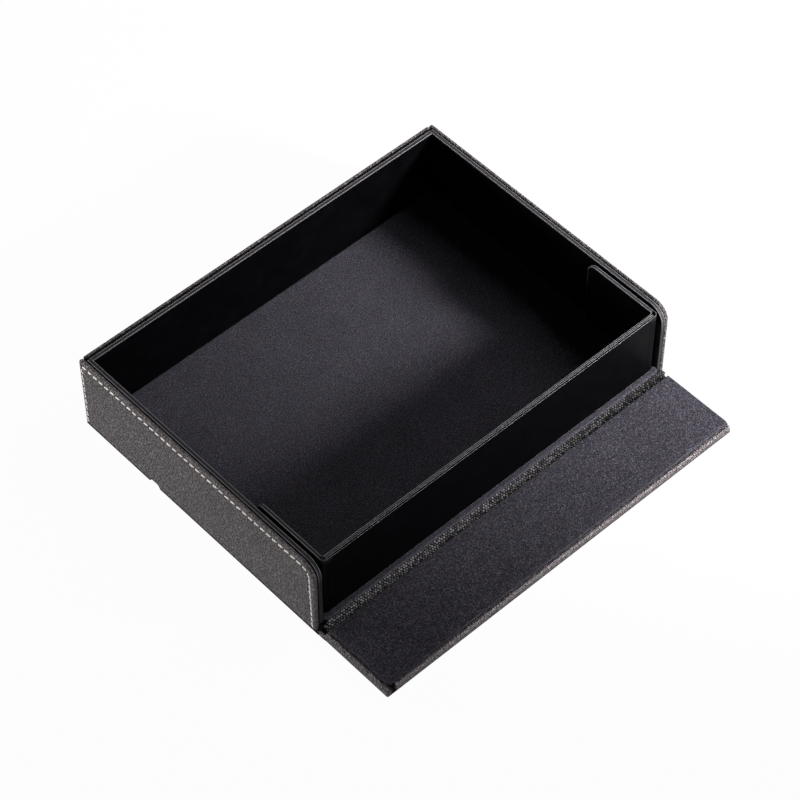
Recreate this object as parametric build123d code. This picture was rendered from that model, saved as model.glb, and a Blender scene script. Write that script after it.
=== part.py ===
from build123d import *
import math
import os

# A leather-covered dice chest section: an open tray of wrapped boards between two stitched side
# panels, a lift-out front wall with folding tabs, and a felt-faced flap hinged at its foot.
# Millimetres. +X runs right along the front wall, +Y towards the back wall, +Z up. The origin is
# on the table, under the middle of the stitched panels.

# ------------------------------------------------------------------------------ overall sizes
WIDTH = 195.0                 # across the leather faces of the two stitched panels
DEPTH = 143.0                 # front edge to back edge of a stitched panel
HEIGHT = 41.2                 # table to the top edges of panels and walls

# ------------------------------------------------------------------------------ bottom and floor
BASE_LEATHER = 0.9            # skin under the boards
BASE_BOARD = 2.4              # thickness of the two bottom boards
REAR_BOARD_DEPTH = 41.2       # back edge of the bottom to the fold groove
GROOVE_WIDTH = 5.7            # fold groove between the two bottom boards
GROOVE_RISE = 1.2             # how far the skin is pressed up into the groove
FLOOR_BOARD = 2.0             # tray floor, on top of the bottom boards
FLOOR_FELT = 0.8
LEDGE = 1.6                   # felt ledge: how far the floor runs out past the side panels
LEDGE_CORNER = 2.5            # radius of its two front corners, seen from above
FELT_LIP = 0.6                # felt turned down over the edges of the floor board

# ------------------------------------------------------------------------------ stitched panels
PANEL = 1.9                   # whole thickness, leather both sides
PANEL_SKIN = 0.5              # leather thickness
PANEL_CORNER = 7.0            # rounded upper front corner
PANEL_BACK_CORNER = 1.5       # upper back corner
PANEL_EDGE = 0.75             # rounding of the leather edge
STITCH_PITCH = 3.5
STITCH_LENGTH = 2.6
STITCH_WIDTH = 0.6
STITCH_STAND = 0.25           # how far the thread stands off the leather
STITCH_TOP = 2.8              # seam to the top and front edges
STITCH_BACK = 1.8             # seam to the back edge
STITCH_FOOT = 2.4             # end of a seam to the foot of the panel

# ------------------------------------------------------------------------------ tray walls
WALL = 1.95                   # a wrapped side or back wall
LINING = 0.35                 # smooth wrapping
WALL_CORNER = 7.5             # rounded upper front corner of a side wall
WALL_EDGE = 0.3               # rounding of the wrapped edges
PANEL_GAP = 0.3               # stitched panel to side wall
BACK_GAP = 0.9                # back panel to back wall
BACK_PANEL_CORNER = 1.2       # upright outer edges of the back panel
BACK_PANEL_EDGE = 0.4         # rounding along its top

# ------------------------------------------------------------------------------ front wall
FRONT_WALL = 2.3
FRONT_WALL_SETBACK = 1.0      # front face behind the front edge of the side panels
SEAM_WIDTH = 0.5              # where the two wrappings meet along the top of the front wall
SEAM_DEPTH = 0.25
TAB = 1.75                    # a folding tab
TAB_REACH = 39.0              # front face of the front wall to the tab's far end
TAB_GAP = 1.55                # tab to side wall
TAB_CORNER = 4.0              # rounded upper back corner of a tab
TAB_FOOT = 0.3                # tab clear of the felt, so that it can fold
TAB_FOLD_GAP = 0.2            # folded tab to the front wall, and the same again beside its root
CORNER_RADIUS = 2.0           # the wrapping goes round the corner as a soft hinge
CORNER_SKIN = 0.5

# ------------------------------------------------------------------------------ flap and its hinge
FLAP = 4.6                    # whole thickness
FLAP_SIDE_GAP = 0.2           # each end of the flap, inside the stitched panels' outer faces
FLAP_TOP_GAP = 0.2            # top edge of the closed flap, below the walls' top edges
FLAP_SKIN = 0.9               # leather under the flap's board
FLAP_FELT = 0.9
FLAP_SIDE_RIM = 2.3           # leather turned in beside the felt
FLAP_FRONT_RIM = 1.9
FLAP_RIM_DROP = 0.3           # top of the leather rim below the felt
FLAP_CORNER = 1.0             # upright front edges of the leather
FLAP_EDGE = 1.4               # rounding of the rim
FELT_CORNER = 1.5             # front corners of the flap's felt
HINGE_GAP = 3.4               # ledge to flap, where only leather crosses
CLOSED_GAP = 0.2              # closed flap to ledge
HINGE_SKIN = 0.8              # outer hinge leather
HINGE_LINING = 0.6            # inner hinge leather
HINGE_LINING_INSET = 3.0      # its ends stop short of the stitched panels' inner faces
HINGE_SAG = 0.5               # how far it dips between ledge and flap
HINGE_LINING_DROP = 0.4       # its edges lie this much under the two felt faces

# ------------------------------------------------------------------------------ magnets
MAGNET = 10.0                 # diameter, flap and front wall
MAGNET_THICK = 1.0
MAGNET_SPACING = 120.0        # between the two of the flap, and the two of the front wall
MAGNET_DROP = 10.2            # top edge of the front wall to the middle of its magnets
TAB_MAGNET = 8.0              # diameter, tabs and side walls
TAB_MAGNET_THICK = 0.8
TAB_MAGNET_INSET = 9.0        # magnet centre to the tab's far end
POCKET_GAP = 0.05             # magnet to the wall of its pocket

# ------------------------------------------------------------------------------ worked-out places
FRONT, BACK = -DEPTH / 2, DEPTH / 2
LEDGE_FRONT = FRONT - LEDGE
BOARD_TOP = BASE_LEATHER + BASE_BOARD
FELT_TOP = BOARD_TOP + FLOOR_BOARD + FLOOR_FELT

PANEL_OUT = WIDTH / 2
PANEL_IN = PANEL_OUT - PANEL
WALL_OUT = PANEL_IN - PANEL_GAP
WALL_IN = WALL_OUT - WALL
TAB_OUT = WALL_IN - TAB_GAP
TAB_IN = TAB_OUT - TAB

BACK_PANEL_IN = BACK - PANEL
BACK_WALL_OUT = BACK_PANEL_IN - BACK_GAP
BACK_WALL_IN = BACK_WALL_OUT - WALL
GROOVE_BACK = BACK - REAR_BOARD_DEPTH
GROOVE_FRONT = GROOVE_BACK - GROOVE_WIDTH

WALL_FRONT = FRONT + FRONT_WALL_SETBACK
WALL_REAR = WALL_FRONT + FRONT_WALL
WALL_END = TAB_OUT - CORNER_RADIUS                  # half length of the front wall
TAB_HINGE_Y = WALL_REAR + TAB_FOLD_GAP              # upright axis, at the tab's inner face
TAB_START = TAB_HINGE_Y + TAB_FOLD_GAP
TAB_END = WALL_FRONT + TAB_REACH
TAB_MAGNET_CENTRE = (TAB_END - TAB_MAGNET_INSET, (FELT_TOP + HEIGHT) / 2)
MAGNET_LEVEL = HEIGHT - MAGNET_DROP

HINGE_Y = LEDGE_FRONT - HINGE_GAP / 2               # flap axis, midway across the gap
HINGE_Z = FLAP - HINGE_GAP / 2 + CLOSED_GAP         # so that the closed flap clears the ledge
FLAP_WIDTH = WIDTH - 2 * FLAP_SIDE_GAP
FLAP_LENGTH = HEIGHT - FLAP_TOP_GAP - HINGE_Z - HINGE_GAP / 2    # it covers the front wall when closed
FLAP_BACK = LEDGE_FRONT - HINGE_GAP
FLAP_FRONT = FLAP_BACK - FLAP_LENGTH
FLAP_FELT_BOTTOM = FLAP - FLAP_FELT
FLAP_MAGNET_Y = HINGE_Y - (MAGNET_LEVEL - HINGE_Z)  # comes up to MAGNET_LEVEL as the flap closes


# ------------------------------------------------------------------------------ helpers
def block(x, y, z):
    """A box between three (low, high) pairs."""
    centre = [(low + high) / 2 for low, high in (x, y, z)]
    size = [high - low for low, high in (x, y, z)]
    return Pos(*centre) * Box(*size)


def upright(x, y, z, front_radius=0.0, back_radius=0.0):
    """A plate that stands along Y, with its upper corners rounded as seen from the side."""
    plate = block(x, y, z)
    for radius, end in ((front_radius, 0), (back_radius, -1)):
        if radius > 0:
            corners = plate.edges().filter_by(Axis.X).group_by(Axis.Z)[-1].sort_by(Axis.Y)
            plate = fillet(corners[end], radius)
    return plate


def face_edges(plate, foot):
    """The edges round both broad faces of a plate that stands along Y, less those at its foot."""
    faces = plate.faces().filter_by(Axis.X)
    edges = faces[0].edges() + faces[-1].edges()
    return edges.filter_by(lambda edge: edge.center().Z > foot + 0.01)


def top_edges(plate, axis):
    return plate.edges().group_by(Axis.Z)[-1].filter_by(axis)


def disc(axis, centre, span, diameter):
    """A disc whose two faces lie at span, (low, high), along an axis."""
    middle = sum(span) / 2
    across = {"X": (middle, *centre), "Y": (centre[0], middle, centre[1]), "Z": (*centre, middle)}
    turn = {"X": Rot(Y=90), "Y": Rot(X=90), "Z": Rot()}
    return Pos(*across[axis]) * turn[axis] * Cylinder(diameter / 2, span[1] - span[0])


def magnet_pair(axis, level, span, diameter):
    """Two discs side by side, in the flap or in the front wall."""
    places = (-MAGNET_SPACING / 2, MAGNET_SPACING / 2)
    return Compound(children=[disc(axis, (x, level), span, diameter) for x in places])


def mirrored(shape):
    """The right-hand copy of a left-hand piece."""
    return mirror(shape, about=Plane.YZ)


def extruded_along_x(wire, half_width):
    """A closed outline drawn in (y, z), drawn out along X to both sides."""
    return extrude(Plane.YZ * make_face(wire), amount=half_width, both=True)


# ------------------------------------------------------------------------------ bottom and floor
def bottom_leather():
    """One skin under both boards, pressed up between them and there kept inside the panels."""
    front = block((-PANEL_OUT, PANEL_OUT), (LEDGE_FRONT, GROOVE_FRONT), (0, BASE_LEATHER))
    rear = block((-PANEL_OUT, PANEL_OUT), (GROOVE_BACK, BACK), (0, BASE_LEATHER))
    ramp_front, ramp_back = GROOVE_FRONT + BASE_LEATHER, GROOVE_BACK - BASE_LEATHER
    crown = GROOVE_RISE + BASE_LEATHER
    outline = Polyline(
        (GROOVE_FRONT, 0), (ramp_front, GROOVE_RISE), (ramp_back, GROOVE_RISE), (GROOVE_BACK, 0),
        (GROOVE_BACK, BASE_LEATHER), (ramp_back, crown), (ramp_front, crown),
        (GROOVE_FRONT, BASE_LEATHER), close=True)
    return front + extruded_along_x(outline, WALL_OUT) + rear


def bottom_board(y):
    return block((-WALL_OUT, WALL_OUT), y, (BASE_LEATHER, BOARD_TOP))


def floor_plate(inset, z):
    """The tray floor between the walls, with rounded front corners."""
    half = WALL_IN - inset
    plate = block((-half, half), (LEDGE_FRONT + inset, BACK_WALL_IN), z)
    corners = plate.edges().filter_by(Axis.Z).group_by(Axis.Y)[0]
    return fillet(corners, LEDGE_CORNER - inset)


def floor_board():
    return floor_plate(FELT_LIP, (BOARD_TOP, BOARD_TOP + FLOOR_BOARD))


def floor_felt():
    """Felt over the floor board, turned down over its front and side edges."""
    return floor_plate(0.0, (BOARD_TOP, FELT_TOP)) - floor_board()


# ------------------------------------------------------------------------------ stitched panels
def panel_plate(skin):
    """The left panel: its whole outline, or with a skin the board inside it."""
    return upright(
        (-PANEL_OUT + skin, -PANEL_IN - skin), (FRONT + skin, BACK - skin),
        (BASE_LEATHER, HEIGHT - skin), PANEL_CORNER - skin, PANEL_BACK_CORNER - skin)


def panel_board():
    return panel_plate(PANEL_SKIN)


def panel_leather():
    plate = panel_plate(0.0)
    return fillet(face_edges(plate, BASE_LEATHER), PANEL_EDGE) - panel_board()


def stitch_rows():
    """The seam on the left panel: up the front and along the top, and down the back."""
    foot, top = BASE_LEATHER + STITCH_FOOT, HEIGHT - STITCH_TOP
    front, back = FRONT + STITCH_TOP, BACK - STITCH_BACK
    long_row = FilletPolyline(
        (-PANEL_OUT, front, foot), (-PANEL_OUT, front, top), (-PANEL_OUT, back, top),
        radius=PANEL_CORNER - STITCH_TOP)
    back_row = Line((-PANEL_OUT, back, top - STITCH_PITCH / 2), (-PANEL_OUT, back, foot))
    return long_row, back_row


def panel_stitching():
    """Flat threads on the leather's outer face, evenly spaced along the seam."""
    thread = Box(STITCH_STAND, STITCH_LENGTH, STITCH_WIDTH)
    stitches = []
    for row in stitch_rows():
        count = int(row.length / STITCH_PITCH)
        for number in range(count):
            distance = (number + 0.5) * row.length / count
            place = row.position_at(distance, position_mode=PositionMode.LENGTH)
            along = row.tangent_at(distance, position_mode=PositionMode.LENGTH)
            slope = math.degrees(math.atan2(along.Z, along.Y))
            outward = Vector(-STITCH_STAND / 2, 0, 0)
            stitches.append(Pos(place + outward) * Rot(X=slope) * thread)
    return Compound(children=stitches)


# ------------------------------------------------------------------------------ back panel
def back_panel_plate(skin):
    return block(
        (-WALL_OUT + skin, WALL_OUT - skin), (BACK_PANEL_IN + skin, BACK - skin),
        (BASE_LEATHER, HEIGHT - skin))


def back_panel_leather():
    plate = back_panel_plate(0.0)
    plate = fillet(plate.edges().filter_by(Axis.Z).group_by(Axis.Y)[-1], BACK_PANEL_CORNER)
    plate = fillet(top_edges(plate, Axis.X), BACK_PANEL_EDGE)
    return plate - back_panel_plate(PANEL_SKIN)


# ------------------------------------------------------------------------------ tray walls
def side_wall_plate(wrap):
    return upright(
        (-WALL_OUT + wrap, -WALL_IN - wrap), (FRONT + wrap, BACK_WALL_OUT - wrap),
        (BOARD_TOP, HEIGHT - wrap), WALL_CORNER - wrap)


def side_wall_lining():
    plate = side_wall_plate(0.0)
    return fillet(face_edges(plate, BOARD_TOP), WALL_EDGE) - side_wall_plate(LINING)


def side_wall_magnet(gap=0.0):
    """Let into the board's inner face, opposite the tab's; with a gap, its pocket."""
    face = -WALL_IN - LINING
    span = (face - TAB_MAGNET_THICK - gap, face)
    return disc("X", TAB_MAGNET_CENTRE, span, TAB_MAGNET + 2 * gap)


def side_wall_board():
    return side_wall_plate(LINING) - side_wall_magnet(POCKET_GAP)


def back_wall_plate(wrap):
    return block(
        (-WALL_IN + wrap, WALL_IN - wrap), (BACK_WALL_IN + wrap, BACK_WALL_OUT - wrap),
        (BOARD_TOP, HEIGHT - wrap))


def back_wall_lining():
    plate = back_wall_plate(0.0)
    return fillet(top_edges(plate, Axis.X), WALL_EDGE) - back_wall_plate(LINING)


# ------------------------------------------------------------------------------ front wall
def front_wall_plate(wrap):
    return block(
        (-WALL_END + wrap, WALL_END - wrap), (WALL_FRONT + wrap, WALL_REAR - wrap),
        (FELT_TOP, HEIGHT - wrap))


def front_wall_lining():
    """Wrapping with rounded edges and a shallow seam where its two halves meet along the top."""
    plate = front_wall_plate(0.0)
    plate = fillet(top_edges(plate, Axis.X), WALL_EDGE)
    middle, half = (WALL_FRONT + WALL_REAR) / 2, SEAM_WIDTH / 2
    seam = Polyline((middle - half, HEIGHT), (middle, HEIGHT - SEAM_DEPTH), (middle + half, HEIGHT), close=True)
    return plate - extruded_along_x(seam, WALL_END) - front_wall_plate(LINING)


def front_wall_magnets(gap=0.0):
    """Let into the board's front face; with a gap, their pockets."""
    face = WALL_FRONT + LINING
    return magnet_pair("Y", MAGNET_LEVEL, (face, face + MAGNET_THICK + gap), MAGNET + 2 * gap)


def front_wall_board():
    return front_wall_plate(LINING) - front_wall_magnets(POCKET_GAP)


def tab_plate(wrap):
    return upright(
        (-TAB_OUT + wrap, -TAB_IN - wrap), (TAB_START + wrap, TAB_END - wrap),
        (FELT_TOP + TAB_FOOT, HEIGHT - wrap), 0.0, TAB_CORNER - wrap)


def tab_lining():
    plate = tab_plate(0.0)
    return fillet(face_edges(plate, FELT_TOP + TAB_FOOT), WALL_EDGE) - tab_plate(LINING)


def tab_magnet(gap=0.0):
    """Let into the board's outer face; with a gap, its pocket."""
    face = -TAB_OUT + LINING
    span = (face, face + TAB_MAGNET_THICK + gap)
    return disc("X", TAB_MAGNET_CENTRE, span, TAB_MAGNET + 2 * gap)


def tab_board():
    return tab_plate(LINING) - tab_magnet(POCKET_GAP)


def corner_hinge():
    """The wrapping that runs on from the front wall round the corner to the tab."""
    bend_end = WALL_FRONT + CORNER_RADIUS
    inner = CORNER_RADIUS - CORNER_SKIN
    outside = RadiusArc((-WALL_END, WALL_FRONT), (-TAB_OUT, bend_end), CORNER_RADIUS)
    outer_side = Line((-TAB_OUT, bend_end), (-TAB_OUT, TAB_START))
    end = Line((-TAB_OUT, TAB_START), (-TAB_OUT + CORNER_SKIN, TAB_START))
    inner_side = Line((-TAB_OUT + CORNER_SKIN, TAB_START), (-TAB_OUT + CORNER_SKIN, bend_end))
    inside = RadiusArc((-TAB_OUT + CORNER_SKIN, bend_end), (-WALL_END, bend_end - inner), -inner)
    start = Line((-WALL_END, bend_end - inner), (-WALL_END, WALL_FRONT))
    outline = make_face(Curve() + [outside, outer_side, end, inner_side, inside, start])
    foot = FELT_TOP + TAB_FOOT
    return Pos(0, 0, foot) * extrude(outline, amount=HEIGHT - foot)


# ------------------------------------------------------------------------------ flap and its hinge
def flap_inset(z):
    """What lies inside the flap's leather rim: the outline of its board and felt."""
    half = FLAP_WIDTH / 2 - FLAP_SIDE_RIM
    plate = block((-half, half), (FLAP_FRONT + FLAP_FRONT_RIM, FLAP_BACK), z)
    return fillet(plate.edges().filter_by(Axis.Z).group_by(Axis.Y)[0], FELT_CORNER)


def flap_leather():
    """Skin under the board, turned up and in along the front and both sides."""
    half = FLAP_WIDTH / 2
    plate = block((-half, half), (FLAP_FRONT, FLAP_BACK), (0, FLAP - FLAP_RIM_DROP))
    plate = fillet(plate.edges().filter_by(Axis.Z).group_by(Axis.Y)[0], FLAP_CORNER)
    rim = plate.edges().group_by(Axis.Z)[-1].sort_by(Axis.Y)[:-1]
    return fillet(rim, FLAP_EDGE) - flap_inset((FLAP_SKIN, FLAP))


def flap_magnets(gap=0.0):
    """Let into the top of the flap's board; with a gap, their pockets."""
    span = (FLAP_FELT_BOTTOM - MAGNET_THICK - gap, FLAP_FELT_BOTTOM)
    return magnet_pair("Z", FLAP_MAGNET_Y, span, MAGNET + 2 * gap)


def flap_board():
    return flap_inset((FLAP_SKIN, FLAP_FELT_BOTTOM)) - flap_magnets(POCKET_GAP)


def hinge_leather():
    """Outer skin across the gap."""
    half = FLAP_WIDTH / 2
    return block((-half, half), (FLAP_BACK, LEDGE_FRONT), (0, HINGE_SKIN))


def hinge_lining():
    """Inner skin across the gap, from under the ledge's edge down to the flap's."""
    start = Vector(LEDGE_FRONT, FELT_TOP - HINGE_LINING_DROP)
    end = Vector(FLAP_BACK, FLAP - HINGE_LINING_DROP)
    dip = (start + end) / 2 - Vector(0, HINGE_SAG)
    under = Vector(0, HINGE_LINING)
    outline = Curve() + [
        ThreePointArc(start, dip, end), Line(end, end - under),
        ThreePointArc(end - under, dip - under, start - under), Line(start - under, start)]
    return extruded_along_x(outline, PANEL_IN - HINGE_LINING_INSET)


# ------------------------------------------------------------------------------ nodes
def build():
    nodes = {
        "bottom_leather": bottom_leather(),
        "bottom_board_front": bottom_board((LEDGE_FRONT, GROOVE_FRONT)),
        "bottom_board_rear": bottom_board((GROOVE_BACK, BACK_PANEL_IN)),
        "floor_board": floor_board(),
        "floor_felt": floor_felt(),
        "back_panel_board": back_panel_plate(PANEL_SKIN),
        "back_panel_leather": back_panel_leather(),
        "back_wall_board": back_wall_plate(LINING),
        "back_wall_lining": back_wall_lining(),
        "front_wall_board": front_wall_board(),
        "front_wall_lining": front_wall_lining(),
        "front_wall_magnets": front_wall_magnets(),
        "hinge_leather": hinge_leather(),
        "hinge_lining": hinge_lining(),
        "flap_leather": flap_leather(),
        "flap_board": flap_board(),
        "flap_magnets": flap_magnets(),
        "flap_felt": flap_inset((FLAP_FELT_BOTTOM, FLAP)),
    }
    left_pieces = {
        "panel_board": panel_board(),
        "panel_leather": panel_leather(),
        "panel_stitching": panel_stitching(),
        "wall_board": side_wall_board(),
        "wall_lining": side_wall_lining(),
        "wall_magnet": side_wall_magnet(),
        "corner_hinge": corner_hinge(),
        "tab_board": tab_board(),
        "tab_lining": tab_lining(),
        "tab_magnet": tab_magnet(),
    }
    for name, piece in left_pieces.items():
        nodes["left_" + name] = piece
        nodes["right_" + name] = mirrored(piece)
    return nodes


os.makedirs("parts", exist_ok=True)
for node, shape in build().items():
    export_step(shape, f"parts/{node}.step")
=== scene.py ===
import math

import bmesh
import bpy
import numpy as np
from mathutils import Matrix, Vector


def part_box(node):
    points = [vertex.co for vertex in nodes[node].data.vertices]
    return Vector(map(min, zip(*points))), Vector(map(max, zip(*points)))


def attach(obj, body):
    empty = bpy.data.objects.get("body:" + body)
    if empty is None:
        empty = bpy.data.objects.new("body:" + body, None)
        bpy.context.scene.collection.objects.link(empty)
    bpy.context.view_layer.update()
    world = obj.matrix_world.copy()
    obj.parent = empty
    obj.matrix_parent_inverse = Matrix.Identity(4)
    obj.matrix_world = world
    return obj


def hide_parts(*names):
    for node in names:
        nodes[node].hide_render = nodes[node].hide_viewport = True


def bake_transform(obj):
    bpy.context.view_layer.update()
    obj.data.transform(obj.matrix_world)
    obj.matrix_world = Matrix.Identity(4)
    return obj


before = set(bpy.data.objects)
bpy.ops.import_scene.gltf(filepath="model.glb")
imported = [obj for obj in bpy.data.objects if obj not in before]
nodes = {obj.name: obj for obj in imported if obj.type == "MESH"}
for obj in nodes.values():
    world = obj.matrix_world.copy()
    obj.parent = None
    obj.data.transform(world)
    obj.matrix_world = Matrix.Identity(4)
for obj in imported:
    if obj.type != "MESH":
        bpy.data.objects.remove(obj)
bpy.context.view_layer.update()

# Lengths below are in millimetres, in the row frame; times MM they are Blender's metres.
MM = 0.001

# Seam of the side panels: how far in from each edge it runs.
SEAM_TOP, SEAM_BACK, SEAM_FOOT = 2.8, 1.8, 0.8
SEAM_DRIFT = 0.8                # the front seam nears the edge by this much towards its foot
STITCH_PITCH, STITCH_LENGTH, THREAD_RADIUS = 3.5, 3.0, 0.5
PANEL_CORNER, PANEL_BACK_CORNER = 7.6, 1.5
WALL_CORNER, TAB_CORNER, LEDGE_CORNER = 7.5, 4.0, 2.5
CORNER_RADIUS, CORNER_SKIN = 2.0, 0.5
HINGE_SAG, HINGE_LINING = 0.5, 0.6
NOTCH_RISE, NOTCH_FADE = 1.2, 3.0   # the panels' foot is lifted over the fold in the bottom
FLAP_NOTCH = 2.4                # gap in the flap's leather beside each front corner
FLAP_RIGHT_RIM = 0.15           # at its right end the leather is cut nearly flush with the felt
HINGE_STRIP_END = 95.2          # the hinge strip runs out to the panels' inner faces

# The seam's dents in the leather: how deep, and how wide along the seam and at each hole.
DENT_DEPTH, SEAM_WIDTH, HOLE_WIDTH = 0.16, 0.4, 0.45
SWELL_HEIGHT, SWELL_PLACE, SWELL_WIDTH = 0.05, 1.1, 0.6     # the leather swells beside the seam

# Pebbles of the hinge strip, and the steps of its mesh along and across.
PEBBLE_LENGTH, PEBBLE_ROWS, PEBBLE_HEIGHT = 1.28, 4, 0.34
STRIP_STATIONS, STRIP_STEPS = 1240, 30

# Camera and table, in Blender's metres (lens and sensor in millimetres).
CAMERA_PLACE, CAMERA_TARGET = (-0.50693, -0.56404, 0.94407), (0.00599, -0.00772, 0.0)
LENS, SENSOR = 130.6, 36.0
TABLE_REACH, TABLE_DROP = 6.0, 0.00005


def box(node):
    """(x0, x1, y0, y1, z0, z1) of a CAD node."""
    low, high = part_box(node)
    return [value / MM for pair in zip(low, high) for value in pair]


# ------------------------------------------------------------------------------ materials
def new_material(name):
    made = bpy.data.materials.new(name)
    made.use_nodes = True
    return made, made.node_tree, made.node_tree.nodes["Principled BSDF"]


def feed(tree, socket, value):
    """Links a socket to another node's output, or sets its value."""
    if isinstance(value, bpy.types.NodeSocket):
        tree.links.new(value, socket)
    else:
        socket.default_value = value


def add(tree, kind, inputs=None, **settings):
    """One node, with its settings and with values or links for its input sockets."""
    node = tree.nodes.new(kind)
    for key, value in settings.items():
        setattr(node, key, value)
    for key, value in (inputs or {}).items():
        feed(tree, node.inputs[key], value)
    return node


def coordinates(tree, blended):
    """Where a pattern is read: the piece's own space, or the rest place kept on a bending piece."""
    if blended:
        return add(tree, "ShaderNodeAttribute", attribute_name="rest").outputs["Vector"]
    return add(tree, "ShaderNodeTexCoord").outputs["Object"]


def noise(tree, where, size, detail=2.0, roughness=0.5):
    """Noise whose features are about size mm across."""
    inputs = {"Vector": where, "Scale": 1 / (size * MM), "Detail": detail, "Roughness": roughness}
    return add(tree, "ShaderNodeTexNoise", inputs).outputs["Fac"]


def ramp(tree, factor, stops):
    node = add(tree, "ShaderNodeValToRGB", {"Fac": factor})
    elements = node.color_ramp.elements
    while len(elements) < len(stops):
        elements.new(0.5)
    for element, (position, value) in zip(elements, stops):
        element.position = position
        element.color = (*value, 1) if isinstance(value, tuple) else (value, value, value, 1)
    return node.outputs["Color"]


def mixed(tree, factor, first, second, blend="MIX"):
    node = add(tree, "ShaderNodeMix", data_type="RGBA", blend_type=blend)
    for socket, value in zip((node.inputs[0], node.inputs[6], node.inputs[7]), (factor, first, second)):
        feed(tree, socket, value)
    return node.outputs[2]


def maths(tree, operation, first, second, clamp=False):
    node = add(tree, "ShaderNodeMath", operation=operation, use_clamp=clamp)
    for socket, value in zip(node.inputs, (first, second)):
        feed(tree, socket, value)
    return node.outputs[0]


def bump(tree, height, strength, depth):
    inputs = {"Height": height, "Strength": strength, "Distance": depth * MM}
    return add(tree, "ShaderNodeBump", inputs).outputs["Normal"]


def painted(tree, name):
    """A value kept on the mesh's points."""
    return add(tree, "ShaderNodeAttribute", attribute_name=name).outputs["Fac"]


def leather(name, colour, blended=False):
    """Fine-grained leather: winding raised grains with dark creases between them, partly painted shade, and
    paler along edges, partly scuffed and partly a painted highlight.
    """
    made, tree, shader = new_material(name)
    where = coordinates(tree, blended)
    winding = maths(tree, "SINE", maths(tree, "MULTIPLY", noise(tree, where, 1.9, 1.0), 22.0), 0.0)
    breaks = noise(tree, where, 0.7, 0.6)
    worms = maths(tree, "ADD", maths(tree, "MULTIPLY", winding, 0.19), breaks)
    fine = noise(tree, where, 0.25, 2.0, 0.6)
    grains = ramp(tree, worms, [(0.2, 0.0), (0.5, 0.5), (0.8, 1.0)])
    height = mixed(tree, 0.12, grains, fine)
    relief = ramp(tree, worms, [(0.3, 0.0), (0.7, 1.0)])
    # the grain's tone, dark in the creases and pale on the raised grains, is partly the leather's own and
    # partly painted shade and highlight in place of the bump's shading
    tone = ramp(tree, height, [(0.08, 0.45), (0.5, 1.2), (0.92, 1.8)])
    broad = ramp(tree, noise(tree, where, 24.0, 2.0), [(0.3, 0.93), (0.7, 1.06)])
    body = mixed(tree, 1.0, (*colour, 1), tone, "MULTIPLY")
    body = mixed(tree, 1.0, body, broad, "MULTIPLY")
    # paler along edges and rims: partly scuffed leather, partly a painted highlight
    worn_and_highlight = maths(tree, "MULTIPLY", painted(tree, "wear"), 0.55)
    evened = ramp(tree, height, [(0.08, 0.95), (0.5, 1.35), (0.92, 1.8)])
    pale = mixed(tree, 1.0, (*(c * 2.8 for c in colour), 1), evened, "MULTIPLY")
    body = mixed(tree, worn_and_highlight, body, pale)
    tree.links.new(body, shader.inputs["Base Color"])
    tree.links.new(ramp(tree, fine, [(0.3, 0.5), (0.7, 0.68)]), shader.inputs["Roughness"])
    tree.links.new(bump(tree, relief, 1.0, 0.9), shader.inputs["Normal"])
    shader.inputs["Specular IOR Level"].default_value = 0.14
    return made


def felt(name, colour):
    """Short-napped felt: matted fibres, pale specks and slightly brushed patches."""
    made, tree, shader = new_material(name)
    where = coordinates(tree, False)
    specks = noise(tree, where, 0.44, 2.0, 0.6)
    fibres = noise(tree, where, 1.1, 4.0, 0.7)
    tone = ramp(tree, specks, [(0.35, 0.3), (0.5, 0.85), (0.6, 1.5), (0.7, 3.2)])
    body = mixed(tree, 1.0, (*colour, 1), tone, "MULTIPLY")
    body = mixed(tree, 1.0, body, ramp(tree, fibres, [(0.3, 0.86), (0.7, 1.14)]), "MULTIPLY")
    brushed = ramp(tree, noise(tree, where, 14.0, 3.0), [(0.3, 0.92), (0.7, 1.08)])
    body = mixed(tree, 1.0, body, brushed, "MULTIPLY")
    hue = ramp(tree, noise(tree, where, 1.3, 2.0), [(0.3, (1.1, 0.96, 0.96)), (0.7, (0.92, 0.99, 1.1))])
    body = mixed(tree, 1.0, body, hue, "MULTIPLY")
    # paler along the felt's rounded edges: partly scuffed nap, partly a painted highlight
    worn_and_highlight = maths(tree, "MULTIPLY", painted(tree, "wear"), 0.5)
    body = mixed(tree, worn_and_highlight, body, (*(c * 2.4 for c in colour), 1))
    tree.links.new(body, shader.inputs["Base Color"])
    tree.links.new(bump(tree, mixed(tree, 0.5, specks, fibres), 0.8, 0.25), shader.inputs["Normal"])
    shader.inputs["Roughness"].default_value = 1.0
    shader.inputs["Specular IOR Level"].default_value = 0.0
    shader.inputs["Sheen Weight"].default_value = 0.08
    shader.inputs["Sheen Roughness"].default_value = 0.5
    shader.inputs["Sheen Tint"].default_value = (0.75, 0.75, 0.85, 1)
    return made


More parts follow.
